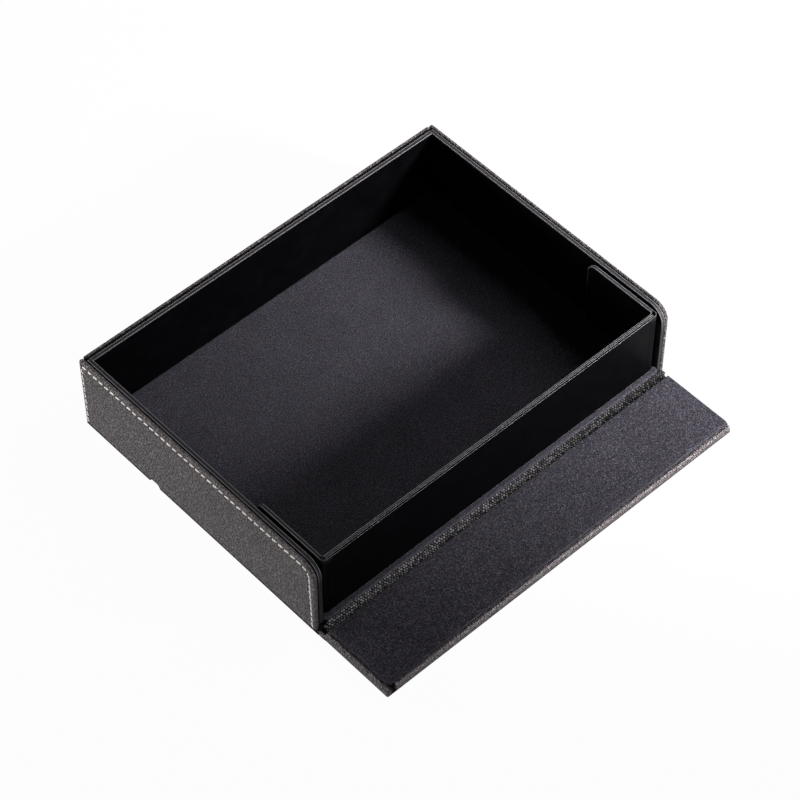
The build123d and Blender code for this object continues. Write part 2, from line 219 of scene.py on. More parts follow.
def lining(name, colour, blended=False):
    """Smooth near-black wrapping, faintly mottled, paler along its folded edges: partly scuffed, partly a
    painted highlight.
    """
    made, tree, shader = new_material(name)
    where = coordinates(tree, blended)
    cloudy = noise(tree, where, 7.0, 4.0, 0.6)
    grain = noise(tree, where, 0.5, 3.0, 0.6)
    tone = ramp(tree, cloudy, [(0.3, 0.7), (0.55, 1.0), (0.75, 1.5)])
    body = mixed(tree, 1.0, (*colour, 1), tone, "MULTIPLY")
    body = mixed(tree, 1.0, body, ramp(tree, grain, [(0.3, 0.85), (0.7, 1.15)]), "MULTIPLY")
    # paler along the folded edges: partly scuffed, partly a painted highlight of the rims catching the lamps
    rubbed_and_highlight = maths(tree, "MULTIPLY", painted(tree, "wear"), ramp(tree, grain, [(0.25, 0.7), (0.6, 1.0)]))
    body = mixed(tree, rubbed_and_highlight, body, (0.3, 0.29, 0.31, 1))
    tree.links.new(body, shader.inputs["Base Color"])
    tree.links.new(ramp(tree, cloudy, [(0.3, 0.42), (0.7, 0.55)]), shader.inputs["Roughness"])
    tree.links.new(bump(tree, grain, 0.35, 0.06), shader.inputs["Normal"])
    shader.inputs["Specular IOR Level"].default_value = 0.02
    return made


def pebble_leather(name, colour):
    """The hinge strip: its pebbles are modelled; the hollows between them are painted near-black as shade and
    the pebble tops painted pale as highlights.
    """
    made, tree, shader = new_material(name)
    where = coordinates(tree, True)
    fine = noise(tree, where, 0.3, 3.0, 0.6)
    high = painted(tree, "pebble")
    # painted shade and highlight: near-black in the hollows between pebbles, and up to nearly five times the
    # colour on their tops
    tone = ramp(tree, high, [(0.0, 0.004), (0.42, 0.1), (0.7, 1.6), (1.0, 4.8)])
    body = mixed(tree, 1.0, (*colour, 1), tone, "MULTIPLY")
    body = mixed(tree, 1.0, body, ramp(tree, fine, [(0.3, 0.8), (0.7, 1.2)]), "MULTIPLY")
    tree.links.new(body, shader.inputs["Base Color"])
    tree.links.new(bump(tree, fine, 0.4, 0.08), shader.inputs["Normal"])
    shader.inputs["Roughness"].default_value = 0.5
    shader.inputs["Specular IOR Level"].default_value = 0.04
    return made


def thread(name, colour):
    made, tree, shader = new_material(name)
    where = coordinates(tree, False)
    fuzz = noise(tree, where, 0.25, 3.0, 0.7)
    body = mixed(tree, 1.0, (*colour, 1), ramp(tree, fuzz, [(0.25, 0.72), (0.7, 1.12)]), "MULTIPLY")
    # darker at the stitch ends: painted shade where the thread dives into its holes
    body = mixed(tree, painted(tree, "cut"), body, (0.16, 0.14, 0.13, 1))
    tree.links.new(body, shader.inputs["Base Color"])
    tree.links.new(bump(tree, fuzz, 0.5, 0.08), shader.inputs["Normal"])
    shader.inputs["Roughness"].default_value = 0.75
    shader.inputs["Specular IOR Level"].default_value = 0.2
    return made


def greyboard(name, colour):
    made, tree, shader = new_material(name)
    pulp = noise(tree, coordinates(tree, False), 0.8, 5.0, 0.7)
    tone = ramp(tree, pulp, [(0.3, 0.7), (0.55, 1.0), (0.75, 1.3)])
    body = mixed(tree, 1.0, (*colour, 1), tone, "MULTIPLY")
    tree.links.new(body, shader.inputs["Base Color"])
    tree.links.new(bump(tree, pulp, 0.4, 0.1), shader.inputs["Normal"])
    shader.inputs["Roughness"].default_value = 0.95
    shader.inputs["Specular IOR Level"].default_value = 0.1
    return made


def raw_edge(name):
    """The raw edge of a sheet of leather, stained near-black; also laid on feet and grooves as painted shade.
    """
    made, tree, shader = new_material(name)
    fibre = noise(tree, coordinates(tree, True), 0.4, 3.0, 0.6)
    body = ramp(tree, fibre, [(0.3, (0.006, 0.005, 0.005)), (0.7, (0.016, 0.013, 0.012))])
    tree.links.new(body, shader.inputs["Base Color"])
    tree.links.new(bump(tree, fibre, 0.5, 0.1), shader.inputs["Normal"])
    shader.inputs["Roughness"].default_value = 0.95
    shader.inputs["Specular IOR Level"].default_value = 0.02
    return made


def plated_metal(name):
    made, tree, shader = new_material(name)
    where = coordinates(tree, False)
    scuffs = noise(tree, where, 1.5, 4.0, 0.6)
    tree.links.new(ramp(tree, scuffs, [(0.3, 0.2), (0.7, 0.38)]), shader.inputs["Roughness"])
    shader.inputs["Base Color"].default_value = (0.62, 0.6, 0.58, 1)
    shader.inputs["Metallic"].default_value = 1.0
    return made


OUTER = leather("outer_leather", (0.078, 0.069, 0.072))
OUTER_BENT = leather("outer_leather_bent", (0.078, 0.069, 0.072), blended=True)
PEBBLED = pebble_leather("hinge_leather", (0.066, 0.062, 0.065))
FELT = felt("felt", (0.046, 0.0442, 0.0522))
LINING = lining("lining", (0.0011, 0.0010, 0.0014))
LINING_BENT = lining("lining_bent", (0.0011, 0.0010, 0.0014), blended=True)
THREAD = thread("thread", (0.82, 0.76, 0.7))
BOARD = greyboard("greyboard", (0.31, 0.3, 0.27))
# near-black board: painted shade for boards that show through gaps
BOARD_IN_SHADE = greyboard("blackboard", (0.012, 0.011, 0.011))
RAW_EDGE_AND_SHADE = raw_edge("raw_edge")
METAL = plated_metal("magnet")


# ------------------------------------------------------------------------------ mesh helpers
def ring(rect, radii, inset, sides, step, arc):
    """Points round a rectangle with rounded corners, moved in by inset times each side's share.
    rect is (u0, u1, v0, v1); radii start at (u0, v0) and go round; sides are in rect's order."""
    u0, u1, v0, v1 = rect
    a, b, c, d = u0 + inset * sides[0], u1 - inset * sides[1], v0 + inset * sides[2], v1 - inset * sides[3]
    shares = (sides[0] + sides[2], sides[1] + sides[2], sides[1] + sides[3], sides[0] + sides[3])
    corners = ((a, c, 1, 1, 2), (b, c, -1, 1, 3), (b, d, -1, -1, 0), (a, d, 1, -1, 1))
    lengths = (u1 - u0, v1 - v0, u1 - u0, v1 - v0)
    arcs = []
    for (x, y, sx, sy, quarter), radius, share in zip(corners, radii, shares):
        r = max(radius - inset * share / 2, 0.02)
        t = (quarter + np.linspace(0, 1, arc + 1)) * math.pi / 2
        arcs.append(np.stack([x + sx * r + r * np.cos(t), y + sy * r + r * np.sin(t)], 1))
    points = []
    for i, corner in enumerate(arcs):
        points.append(corner)
        count = max(1, round(lengths[i] / step))
        share = np.linspace(0, 1, count + 1)[1:-1, None]
        points.append(corner[-1] + (arcs[(i + 1) % 4][0] - corner[-1]) * share)
    return np.concatenate(points)


def tube_faces(rings, n):
    """Faces between rings of n points each, with a cap on the first and on the last."""
    j = np.arange(n)
    faces = []
    for i in range(rings - 1):
        quad = np.stack([i * n + j, i * n + (j + 1) % n, (i + 1) * n + (j + 1) % n, (i + 1) * n + j], 1)
        faces += quad.tolist()
    return faces + [list(range(n)), list(range((rings - 1) * n, rings * n))]


def plate(rect, radii, rows, place, sides=(1, 1, 1, 1), step=4.0, arc=6):
    """A closed form of rings, one for each row of (inset, depth, wear), with flat caps.
    place turns arrays (u, v, depth) into points. Gives points, faces and wear."""
    rings = [ring(rect, radii, row[0], sides, step, arc) for row in rows]
    n = len(rings[0])
    points = np.concatenate([place(r[:, 0], r[:, 1], np.full(n, row[1])) for r, row in zip(rings, rows)])
    wear = np.repeat([row[2] for row in rows], n)
    return points, tube_faces(len(rows), n), {"wear": wear}


def sweep(sections):
    """A tube through sections, arrays of points of one count, with a cap at each end."""
    return np.concatenate(sections), tube_faces(len(sections), len(sections[0]))


def joined(*forms):
    """Several forms of (points, faces, painted values) as one."""
    points, faces, values, start = [], [], {}, 0
    names = sorted({name for form in forms for name in form[2]})
    for form in forms:
        points.append(form[0])
        faces += [[start + i for i in face] for face in form[1]]
        start += len(form[0])
        for name in names:
            values.setdefault(name, []).append(form[2].get(name, np.zeros(len(form[0]))))
    return np.concatenate(points), faces, {name: np.concatenate(found) for name, found in values.items()}


def mirrored(form):
    points = form[0] * np.array([-1, 1, 1])
    return points, [face[::-1] for face in form[1]], form[2]


def piece(name, form, material, body, slot, *replaced):
    """A smooth mesh of the form, riding on a body, in place of the CAD nodes named."""
    points, faces, values = form
    mesh = bpy.data.meshes.new(name)
    mesh.from_pydata((points * MM).tolist(), [], faces)
    for key in ("wear", "cut", "pebble"):
        layer = mesh.attributes.new(key, "FLOAT", "POINT")
        layer.data.foreach_set("value", np.asarray(values.get(key, np.zeros(len(points))), np.float32))
    rest = mesh.attributes.new("rest", "FLOAT_VECTOR", "POINT")
    rest.data.foreach_set("vector", (points * MM).astype(np.float32).ravel())
    work = bmesh.new()
    work.from_mesh(mesh)
    bmesh.ops.recalc_face_normals(work, faces=work.faces)
    work.to_mesh(mesh)
    work.free()
    mesh.shade_smooth()
    mesh.materials.append(material)
    # faces marked here take the near-black edge colour: stained raw edges of the leather, and painted shade
    # along feet, grooves and the sheet's sides
    cut = values.get("cut")
    if cut is not None and material in (OUTER, OUTER_BENT):
        mesh.materials.append(RAW_EDGE_AND_SHADE)
        for face in mesh.polygons:
            face.material_index = int(np.mean(cut[list(face.vertices)]) > 0.6)
    made = bpy.data.objects.new(name, mesh)
    bpy.context.scene.collection.objects.link(made)
    if body:
        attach(made, body)
    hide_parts(*replaced)
    return made


def along_y(sign, face):
    """Places a plate that stands along Y: depth runs in from its outer face."""
    return lambda u, v, depth: np.stack([sign * (face - depth), u, v], 1)


def along_x(face, sign=1):
    """Places a plate that stands along X: depth runs from its face in the sign's direction of Y."""
    return lambda u, v, depth: np.stack([u, face + sign * depth, v], 1)


def lying(top):
    """Places a plate that lies flat: depth runs down from its top."""
    return lambda u, v, depth: np.stack([u, v, top - depth], 1)


# ------------------------------------------------------------------------------ side panels
def seam_lines(y0, y1, z0, z1):
    """Both seams of a panel as dense lines in (y, z): up the front and along the top, and the back."""
    radius = PANEL_CORNER - SEAM_TOP
    front, top, back, foot = y0 + SEAM_TOP, z1 - SEAM_TOP, y1 - SEAM_BACK, z0 + SEAM_FOOT
    turn = np.linspace(math.pi, math.pi / 2, 40)
    rise = np.array([[front - SEAM_DRIFT * (top - radius - z) / (top - radius - foot), z]
                     for z in np.linspace(foot, top - radius, 200)])
    bend = np.stack([front + radius + radius * np.cos(turn), top - radius + radius * np.sin(turn)], 1)
    run = np.array([[y, top] for y in np.linspace(front + radius, back, 900)])
    drop = np.array([[back, z] for z in np.linspace(top - STITCH_PITCH / 2, foot, 240)])
    return np.concatenate([rise, bend[1:], run[1:]]), drop


def stitch_places(line):
    """Middle and direction of each stitch of a seam."""
    steps = np.linalg.norm(np.diff(line, axis=0), axis=1)
    reach = np.concatenate([[0], np.cumsum(steps)])
    count = int(reach[-1] / STITCH_PITCH)
    places = (np.arange(count) + 0.5) * reach[-1] / count
    at = np.stack([np.interp(places, reach, line[:, k]) for k in (0, 1)], 1)
    ahead = np.stack([np.interp(places + 0.3, reach, line[:, k]) for k in (0, 1)], 1)
    behind = np.stack([np.interp(places - 0.3, reach, line[:, k]) for k in (0, 1)], 1)
    way = ahead - behind
    return at, way / np.linalg.norm(way, axis=1)[:, None]


def stitches(lines, face):
    """Two-ply thread that rises out of one hole, lies on the leather and dives into the next."""
    rows, around = 15, 10
    t = np.linspace(-1, 1, rows)
    theta = np.arange(around) * 2 * math.pi / around
    forms = []
    rng = np.random.default_rng(5)
    for line in lines:
        for (y, z), (ty, tz) in zip(*stitch_places(line)):
            lean = rng.normal(-0.18, 0.035)
            ty, tz = ty * math.cos(lean) - tz * math.sin(lean), ty * math.sin(lean) + tz * math.cos(lean)
            size = THREAD_RADIUS * rng.uniform(0.94, 1.04)
            sections = []
            for step in t:
                out = -0.03 - 0.42 * abs(step) ** 7
                r = size * (1 - 0.3 * step ** 6) * (1 + 0.14 * np.cos(2 * theta - 5.5 * step))
                side, lift = r * np.cos(theta), r * np.sin(theta) * 0.52 + out
                along = step * STITCH_LENGTH / 2
                row = [-face - lift, y + ty * along - tz * side, z + tz * along + ty * side]
                sections.append(np.stack(row, 1))
            points, faces = sweep(sections)
            # painted shade: each stitch darkens over its last tenth, where it dives into a hole
            painted_shade_at_holes = np.repeat(np.clip((np.abs(t) - 0.9) * 6, 0, 1), around)
            forms.append((points, faces, {"cut": painted_shade_at_holes}))
    return joined(*forms)


def panel_form():
    """The left stitched panel: leather turned round the edges, drawn in along the seams."""
    x0, x1, y0, y1, z0, z1 = box("left_panel_leather")
    thick = x1 - x0
    rows = [(9.0, 0.0, 0.0), (4.2, 0.0, 0.0), (3.6, 0.0, 0.0), (3.25, 0.0, 0.0), (3.0, 0.0, 0.0),
            (2.8, 0.0, 0.0), (2.6, 0.0, 0.0), (2.35, 0.0, 0.05), (2.0, 0.0, 0.1), (1.5, 0.0, 0.15),
            (1.0, 0.02, 0.3),
            (0.62, 0.09, 0.6), (0.3, 0.27, 1.0), (0.08, 0.55, 0.8), (0.0, 0.9, 0.35), (0.03, 1.15, 0.2),
            (0.2, thick - 0.42, 0.7), (0.45, thick - 0.14, 0.6), (0.85, thick, 0.2), (5.0, thick, 0.0)]
    form = plate((y0, y1, z0, z1), (0.05, 0.05, PANEL_BACK_CORNER, PANEL_CORNER), rows,
                 along_y(-1, -x0), sides=(1, 0.643, 0.1, 1), step=0.58, arc=12)
    points, faces, values = form
    values["wear"] = values["wear"] * 0.6
    lines = seam_lines(y0, y1, z0, z1)
    front_side = points[:, 0] < x0 + 0.05
    for line in lines:
        reach = np.full(len(points), 9.0)
        chosen = np.where(front_side)[0]
        for start in range(0, len(chosen), 2000):
            some = chosen[start:start + 2000]
            gap = np.linalg.norm(points[some][:, None, 1:] - line[None, ::3], axis=2)
            reach[some] = gap.min(1)
        at, way = stitch_places(line)
        holes = np.concatenate([at - way * STITCH_PITCH / 2, at[-1:] + way[-1:] * STITCH_PITCH / 2])
        near = np.full(len(points), 9.0)
        close = np.where(reach < 1.2)[0]
        near[close] = np.linalg.norm(points[close][:, None, 1:] - holes[None], axis=2).min(1)
        along_seam, at_holes = np.exp(-(reach / SEAM_WIDTH) ** 2), np.exp(-(near / HOLE_WIDTH) ** 2)
        points[:, 0] += DENT_DEPTH * along_seam + DENT_DEPTH * at_holes
        points[:, 0] -= SWELL_HEIGHT * np.exp(-((reach - SWELL_PLACE) / SWELL_WIDTH) ** 2) * front_side
        values["wear"] = np.clip(values["wear"] - np.exp(-(near / 0.5) ** 2), 0, 1)
    points[:, 0] = np.maximum(points[:, 0], x0)
    # painted shade: the panel's lowest 0.4 mm takes the near-black edge colour, a painted contact shadow
    # along its foot
    foot = (points[:, 2] < z0 + 0.4) & (points[:, 1] > y0 + 1)
    values["wear"][foot] = 0
    values["cut"] = foot * 1.0
    fold_front, fold_back = box("bottom_board_front")[3], box("bottom_board_rear")[2]
    notch = np.clip(np.minimum(points[:, 1] - fold_front, fold_back - points[:, 1]) / 0.6, 0, 1) * NOTCH_RISE
    points[:, 2] += notch * np.clip(1 - (points[:, 2] - z0) / NOTCH_FADE, 0, 1)
    return (points, faces, values), stitches(lines, -x0)


# ------------------------------------------------------------------------------ wrapped boards
def wrapped_rows(thick):
    """Rows round the rim of a wrapped board, with its two edges paler: partly scuffed, partly a painted
    highlight.
    """
    rows = [(4.0, 0.0, 0.0), (0.6, 0.0, 0.0), (0.3, 0.015, 0.05), (0.1, 0.1, 0.5), (0.02, 0.2, 0.75),
            (0.0, 0.34, 0.75), (0.12, 0.44, 0.02), (0.14, 0.54, 0.1), (0.12, thick / 2, 0.17)]
    back = [(inset, thick - depth, wear) for inset, depth, wear in rows[:-1]]
    return rows + back[::-1]


def seamed_rows(thick):
    """Rows round the front wall's rim: four thin pale lines, partly scuffed and partly painted highlight, on
    two edges and on the two lips of a seam.
    """
    middle = thick / 2
    lip = [(0.1, 0.46, 0.0), (0.05, 0.42, 1.0), (0.04, 0.27, 1.0), (0.14, 0.23, 0.0)]
    rows = [(4.0, 0.0, 0.0), (0.4, 0.0, 0.0), (0.36, 0.0, 1.0), (0.2, 0.0, 1.0), (0.16, 0.01, 0.0),
            (0.05, 0.1, 0.0), (0.02, 0.3, 0.0)]
    rows += [(inset, middle - off, wear) for inset, off, wear in lip] + [(0.3, middle, 0.0)]
    rows += [(inset, middle + off, wear) for inset, off, wear in lip[::-1]]
    rows += [(0.02, thick - 0.33, 0.0), (0.0, thick - 0.29, 1.0), (0.03, thick - 0.12, 1.0),
             (0.07, thick - 0.08, 0.0), (0.4, thick, 0.0), (4.0, thick, 0.0)]
    return rows


def wall_form():
    x0, x1, y0, y1, z0, z1 = box("left_wall_lining")
    points, faces, values = plate((y0, y1, z0, z1), (0.3, 0.3, 0.3, WALL_CORNER), wrapped_rows(x1 - x0),
                                  along_y(-1, -x0), sides=(1, 1, 0.3, 1), step=5.0, arc=12)
    # painted highlight: the pale edge lines are kept to the top of the wall, where the rim catches the light,
    # fading out below, with only a faint pale line down the front edge
    upper = np.clip((points[:, 2] - z1 + WALL_CORNER + 3) / 6, 0, 1)
    rim = np.clip((y0 + 1.0 - points[:, 1]) * 3, 0, 1)
    values["wear"] = values["wear"] * upper + 0.09 * (1 - upper) * rim
    return points, faces, values


def tab_form():
    x0, x1, y0, y1, z0, z1 = box("left_tab_lining")
    return plate((y0, y1, z0, z1), (0.3, 0.6, TAB_CORNER, 0.5), wrapped_rows(x1 - x0),
                 along_y(-1, -x0), step=4.0, arc=10)


def back_wall_form():
    x0, x1, y0, y1, z0, z1 = box("back_wall_lining")
    return plate((x0, x1, z0, z1), (0.1, 0.1, 0.1, 0.1), wrapped_rows(y1 - y0),
                 along_x(y1, -1), sides=(0.05, 0.05, 0.3, 1), step=6.0, arc=2)


def back_panel_form():
    x0, x1, y0, y1, z0, z1 = box("back_panel_leather")
    thick = y1 - y0
    rows = [(5.0, 0.0, 0.0), (1.4, 0.0, 0.0), (0.8, 0.03, 0.1), (0.4, 0.14, 0.2), (0.12, 0.38, 0.3),
            (0.0, 0.75, 0.0), (0.02, 1.0, 0.0), (0.2, thick - 0.8, 0.0), (0.5, thick - 0.6, 1.0),
            (0.5, thick - 0.2, 1.0),
            (0.8, thick, 1.0), (5.0, thick, 0.0)]
    points, faces, values = plate((x0, x1, z0, z1), (0.1, 0.1, 1.0, 1.0), rows, along_x(y1, -1),
                                  sides=(0.7, 0.7, 0.1, 1), step=2.5, arc=5)
    values["cut"] = (values["wear"] > 0.9) * 1.0
    values["wear"] = values["wear"] * (values["wear"] < 0.9)
    return points, faces, values


def front_wall_form():
    x0, x1, y0, y1, z0, z1 = box("front_wall_lining")
    return plate((x0, x1, z0, z1), (0.1, 0.1, 0.15, 0.15), seamed_rows(y1 - y0),
                 along_x(y0), sides=(0.25, 0.25, 0.3, 1), step=6.0, arc=3)


def corner_form():
    """The left corner's wrapping: over the end of the front wall, round, and on to the tab."""
    x0, x1, y0, y1, z0, z1 = box("left_corner_hinge")
    proud, tuck = 0.03, 3.2
    centre = (x0 + CORNER_RADIUS, y0 + CORNER_RADIUS)
    radius = CORNER_RADIUS + proud
    path = [((centre[0] + tuck, y0 + 0.06), (0.0, -1.0)), ((centre[0] + tuck * 0.6, y0 - proud), (0.0, -1.0)),
            ((centre[0] + tuck * 0.2, y0 - proud), (0.0, -1.0))]
    for t in np.linspace(0, math.pi / 2, 13):
        out = (-math.sin(t), -math.cos(t))
        path.append(((centre[0] + out[0] * radius, centre[1] + out[1] * radius), out))
    for share in (0.25, 0.6, 1.0):
        inward = 0.09 if share == 1.0 else 0
        path.append(((x0 - proud + inward, centre[1] + share * (y1 - centre[1] + tuck)), (-1.0, 0.0)))
    rows = [(0.0, z0, 0.0), (0.0, z0 + 0.5, 0.0), (0.0, z1 - 3, 0.0), (0.0, z1 - 0.35, 0.05),
            (0.05, z1 - 0.14, 0.3), (0.2, z1, 0.45), (CORNER_SKIN - 0.15, z1 - 0.03, 0.25),
            (CORNER_SKIN, z1 - 0.3, 0.0),
            (CORNER_SKIN, z0, 0.0)]
    sections = [np.array([[x - ox * inset, y - oy * inset, z] for inset, z, _ in rows])
                for (x, y), (ox, oy) in path]
    points, faces = sweep(sections)
    return points, faces, {"wear": np.tile([wear for *_, wear in rows], len(path))}


# ------------------------------------------------------------------------------ felt
def floor_form():
    x0, x1, y0, y1, z0, z1 = box("floor_felt")
    deep = z1 - z0
    rows = [(12.0, 0.0, 0.0), (1.6, 0.0, 0.0), (1.0, 0.02, 0.05), (0.55, 0.1, 0.35), (0.22, 0.3, 0.45),
            (0.03, 0.65, 0.1), (0.0, 1.1, 0.0), (0.0, deep - 0.1, 0.0), (0.3, deep, 0.0), (12.0, deep, 0.0)]
    form = plate((x0, x1, y0, y1), (LEDGE_CORNER, LEDGE_CORNER, 0.1, 0.1), rows, lying(z1), step=2.0, arc=10)
    # painted light: the pale rounded edge is strongest at the left end and faint at the right, evening out
    # the key lamp that lights the right end most
    form[2]["wear"] = form[2]["wear"] * np.interp(form[0][:, 0], (x0, x1), (1.2, 0.2))
    return form


def flap_felt_form():
    x0, x1, y0, y1, z0, z1 = box("flap_felt")
    deep = z1 - z0
    rows = [(8.0, 0.0, 0.0), (0.9, 0.0, 0.0), (0.45, 0.03, 0.2), (0.15, 0.14, 0.35), (0.0, 0.4, 0.1),
            (0.0, deep, 0.0), (8.0, deep, 0.0)]
    return plate((x0, x1, y0, y1), (1.5, 1.5, 0.3, 0.3), rows, lying(z1),
                 sides=(1, 1, 1, 0.6), step=2.0, arc=8)


# ------------------------------------------------------------------------------ flap leather
def strip(section, start, end, axis, step=1.0):
    """A bar with the section, rounded over at its two ends. axis 0 runs along X, axis 1 along Y."""
    middle = section[:, :2].mean(0)
    count = max(2, round((end - start) / step))
    stations = [(start, 0.86), (start + 0.1, 0.94), (start + 0.3, 1.0)]
    stations += [(start + 0.3 + (end - start - 0.6) * k / count, 1.0) for k in range(1, count)]
    stations += [(end - 0.3, 1.0), (end - 0.1, 0.94), (end, 0.86)]
    sections = []
    for place, scale in stations:
        across = middle + (section[:, :2] - middle) * scale
        run = np.full(len(across), place)
        order = (run, across[:, 0], across[:, 1]) if axis == 0 else (across[:, 0], run, across[:, 1])
        sections.append(np.stack(order, 1))
    points, faces = sweep(sections)
    wear = np.tile(section[:, 2], len(stations))
    return points, faces, {"wear": wear, "cut": np.tile(section[:, 3], len(stations))}


def rim_section(outer, inner, low, high):
    """Turned-in rim between its outer and inner face: (across, z, wear, cut)."""
    way = 1 if inner > outer else -1
    width = abs(inner - outer)
    # rows with 1 in the last column take the near-black edge colour: the rim's foot and two grooves beside
    # the felt, painted shade where the rim meets the sheet and the felt
    rows = [(0.12, low, 0, 1), (0.0, low + 0.5, 0, 1), (0.0, low + 0.65, 0.1, 0), (0.0, high - 1.5, 0.1, 0),
            (0.1, high - 0.95, 0.3, 0), (0.34, high - 0.45, 0.6, 0), (0.75, high - 0.12, 0.5, 0),
            (1.15, high, 0.2, 0), (1.34, high - 0.06, 0, 0), (1.42, high - 0.45, 0, 1),
            (1.7, high - 0.45, 0, 1), (1.76, high - 0.1, 0.3, 0), (2.0, high - 0.14, 0.2, 0),
            (2.06, high - 0.6, 0, 1), (2.3, high - 0.6, 0, 1), (2.3, low, 0, 1)]
    return np.array([(outer + way * across * width / 2.3, z, wear, cut) for across, z, wear, cut in rows])


def flap_leather_form():
    """Skin under the flap, with a rim turned up on three sides and notched beside the front corners."""
    x0, x1, y0, y1, z0, z1 = box("flap_leather")
    inner_x, front_y = box("flap_felt")[0], box("flap_felt")[2]
    skin = 0.9
    rows = [(4.0, 0.0, 0.0), (0.25, 0.0, 0.0), (0.12, 0.12, 0.0), (0.12, skin - 0.3, 0.0),
            (0.25, skin - 0.2, 0.0), (4.0, skin - 0.2, 0.0)]
    right = -inner_x + FLAP_RIGHT_RIM
    points, faces, values = plate((x0, right, y0, y1), (0.8, 0.8, 0.05, 0.05), rows, lying(z0 + skin - 0.2),
                                  sides=(1, 1, 1, 0), step=4.0, arc=4)
    values["cut"] = ((points[:, 0] < x0 + 1) | (points[:, 0] > right - 1) | (points[:, 1] < y0 + 1)) * 1.0
    sheet = (points, faces, values)
    left_side = strip(rim_section(x0, inner_x, z0 + 0.35, z1), y0 + 0.1, y1, 1)
    right_side = strip(rim_section(right, -inner_x, z0 + 0.35, z1 - 0.8), front_y + 0.3, y1, 1)
    front = strip(rim_section(y0, front_y, z0 + 0.35, z1 - 0.3), inner_x + FLAP_NOTCH, right - 0.8, 0)
    # painted highlight: the pale rim along the front is made up to 5.5 times stronger towards the left end,
    # where the key lamp's light falls off
    front[2]["wear"] = np.clip(front[2]["wear"] * np.interp(front[0][:, 0], (x0, -x0), (5.5, 1.0)), 0, 1.7)
    return joined(sheet, left_side, right_side, front)


# ------------------------------------------------------------------------------ bottom and hinge
def bottom_form():
    """The bottom skin in two parts, each a sheet with a near-black edge, stained and partly painted shade,
    and the fold between them.
    """
    x0, x1, y0, y1, z0, z1 = box("bottom_leather")
    skin = box("left_panel_leather")[4]
    front, back = box("bottom_board_front")[3], box("bottom_board_rear")[2]
    half = box("bottom_board_front")[1]
    forms = []
    rows = [(3.0, 0.0, 0.0), (0.35, 0.0, 0.0), (0.1, 0.06, 0.0), (0.0, 0.3, 0.0), (0.0, skin - 0.2, 0.0),
            (0.15, skin, 0.0), (3.0, skin, 0.0)]
    for y_low, y_high in ((y0, front), (back, y1)):
        forms.append(plate((x0, x1, y_low, y_high), (0.6, 0.6, 0.6, 0.6), rows, lying(skin), step=4.0, arc=4))
    rise = z1 - skin
    line = [(front - 0.5, 0.03), (front + 0.1, 0.1), (front + skin, rise), (back - skin, rise),
            (back - 0.1, 0.1), (back + 0.5, 0.03)]
    section = [(y, z) for y, z in line] + [(y, z + skin - 0.06) for y, z in line[::-1]]
    sections = [np.array([[x, y, z] for y, z in section]) for x in np.linspace(-half, half, 30)]
    points, faces = sweep(sections)
    forms.append((points, faces, {}))
    points, faces, values = joined(*forms)
    # near-black along the sheet's two sides: its stained edge, together with painted shade standing in for
    # the panels' contact shadow
    values["cut"] = (np.abs(points[:, 0]) > half + 1.2) * 0.9
    return points, faces, values


def hinge_skin_form():
    """The outer skin across the hinge gap, built in fine steps."""
    x0, x1, y0, y1, z0, z1 = box("hinge_leather")
    x1 = box("flap_felt")[1] + FLAP_RIGHT_RIM
    sections = []
    for y in np.linspace(y0, y1, 15):
        dip = 0.12 * math.sin(math.pi * (y - y0) / (y1 - y0))
        sections.append(np.array([[x0, y, z0 + 0.05], [x0, y, z1 - 0.1 - dip], [x0 + 0.3, y, z1 - dip],
                                  [x1 - 0.3, y, z1 - dip], [x1, y, z1 - 0.1 - dip], [x1, y, z0 + 0.05],
                                  [x1 - 0.2, y, z0], [x0 + 0.2, y, z0]]))
    points, faces = sweep(sections)
    skin = (points, faces, {"cut": (np.abs(points[:, 0]) > x1 - 0.25) * 1.0})
    profile = ((0.05, z1 - 0.1), (0.0, 1.4), (0.12, 2.3), (0.5, 2.7), (0.9, 2.4), (1.1, z1 - 0.1))
    points, faces = sweep([np.array([[x0 + across, y, z] for across, z in profile])
                           for y in np.linspace(y0, y1, 15)])
    lip = (points, faces, {"wear": np.clip(points[:, 2] - 1.6, 0, 0.7)})
    return joined(skin, lip)


def pebbles(u, v, along, across):
    """Height, 0 to 1, of rows of slanted pebbles at (u, v)."""
    height = np.zeros(u.shape)
    row = np.floor(v / across)
    for near in (-1, 0, 1):
        r = row + near
        shift = 0.5 * (r % 2) * along
        column = np.round((u - shift) / along)
        for beside in (-1, 0, 1):
            c = column + beside
            jitter = np.sin(c * 12.9898 + r * 78.233) * 43758.5453
            jitter = jitter - np.floor(jitter)
            cu = c * along + shift + (jitter - 0.5) * 0.22 * along
            cv = (r + 0.5) * across + (np.sin(jitter * 40) * 0.08) * across
            du, dv = u - cu, v - cv
            lean = du * 0.86 + dv * 0.5
            cross = dv * 0.86 - du * 0.5
            far = (lean / (0.66 * across)) ** 2 + (cross / (0.46 * along)) ** 2
            bead = np.sqrt(np.clip(1 - far, 0, 1)) * (0.82 + 0.18 * np.sin(jitter * 17))
            height = np.maximum(height, bead)
    return height


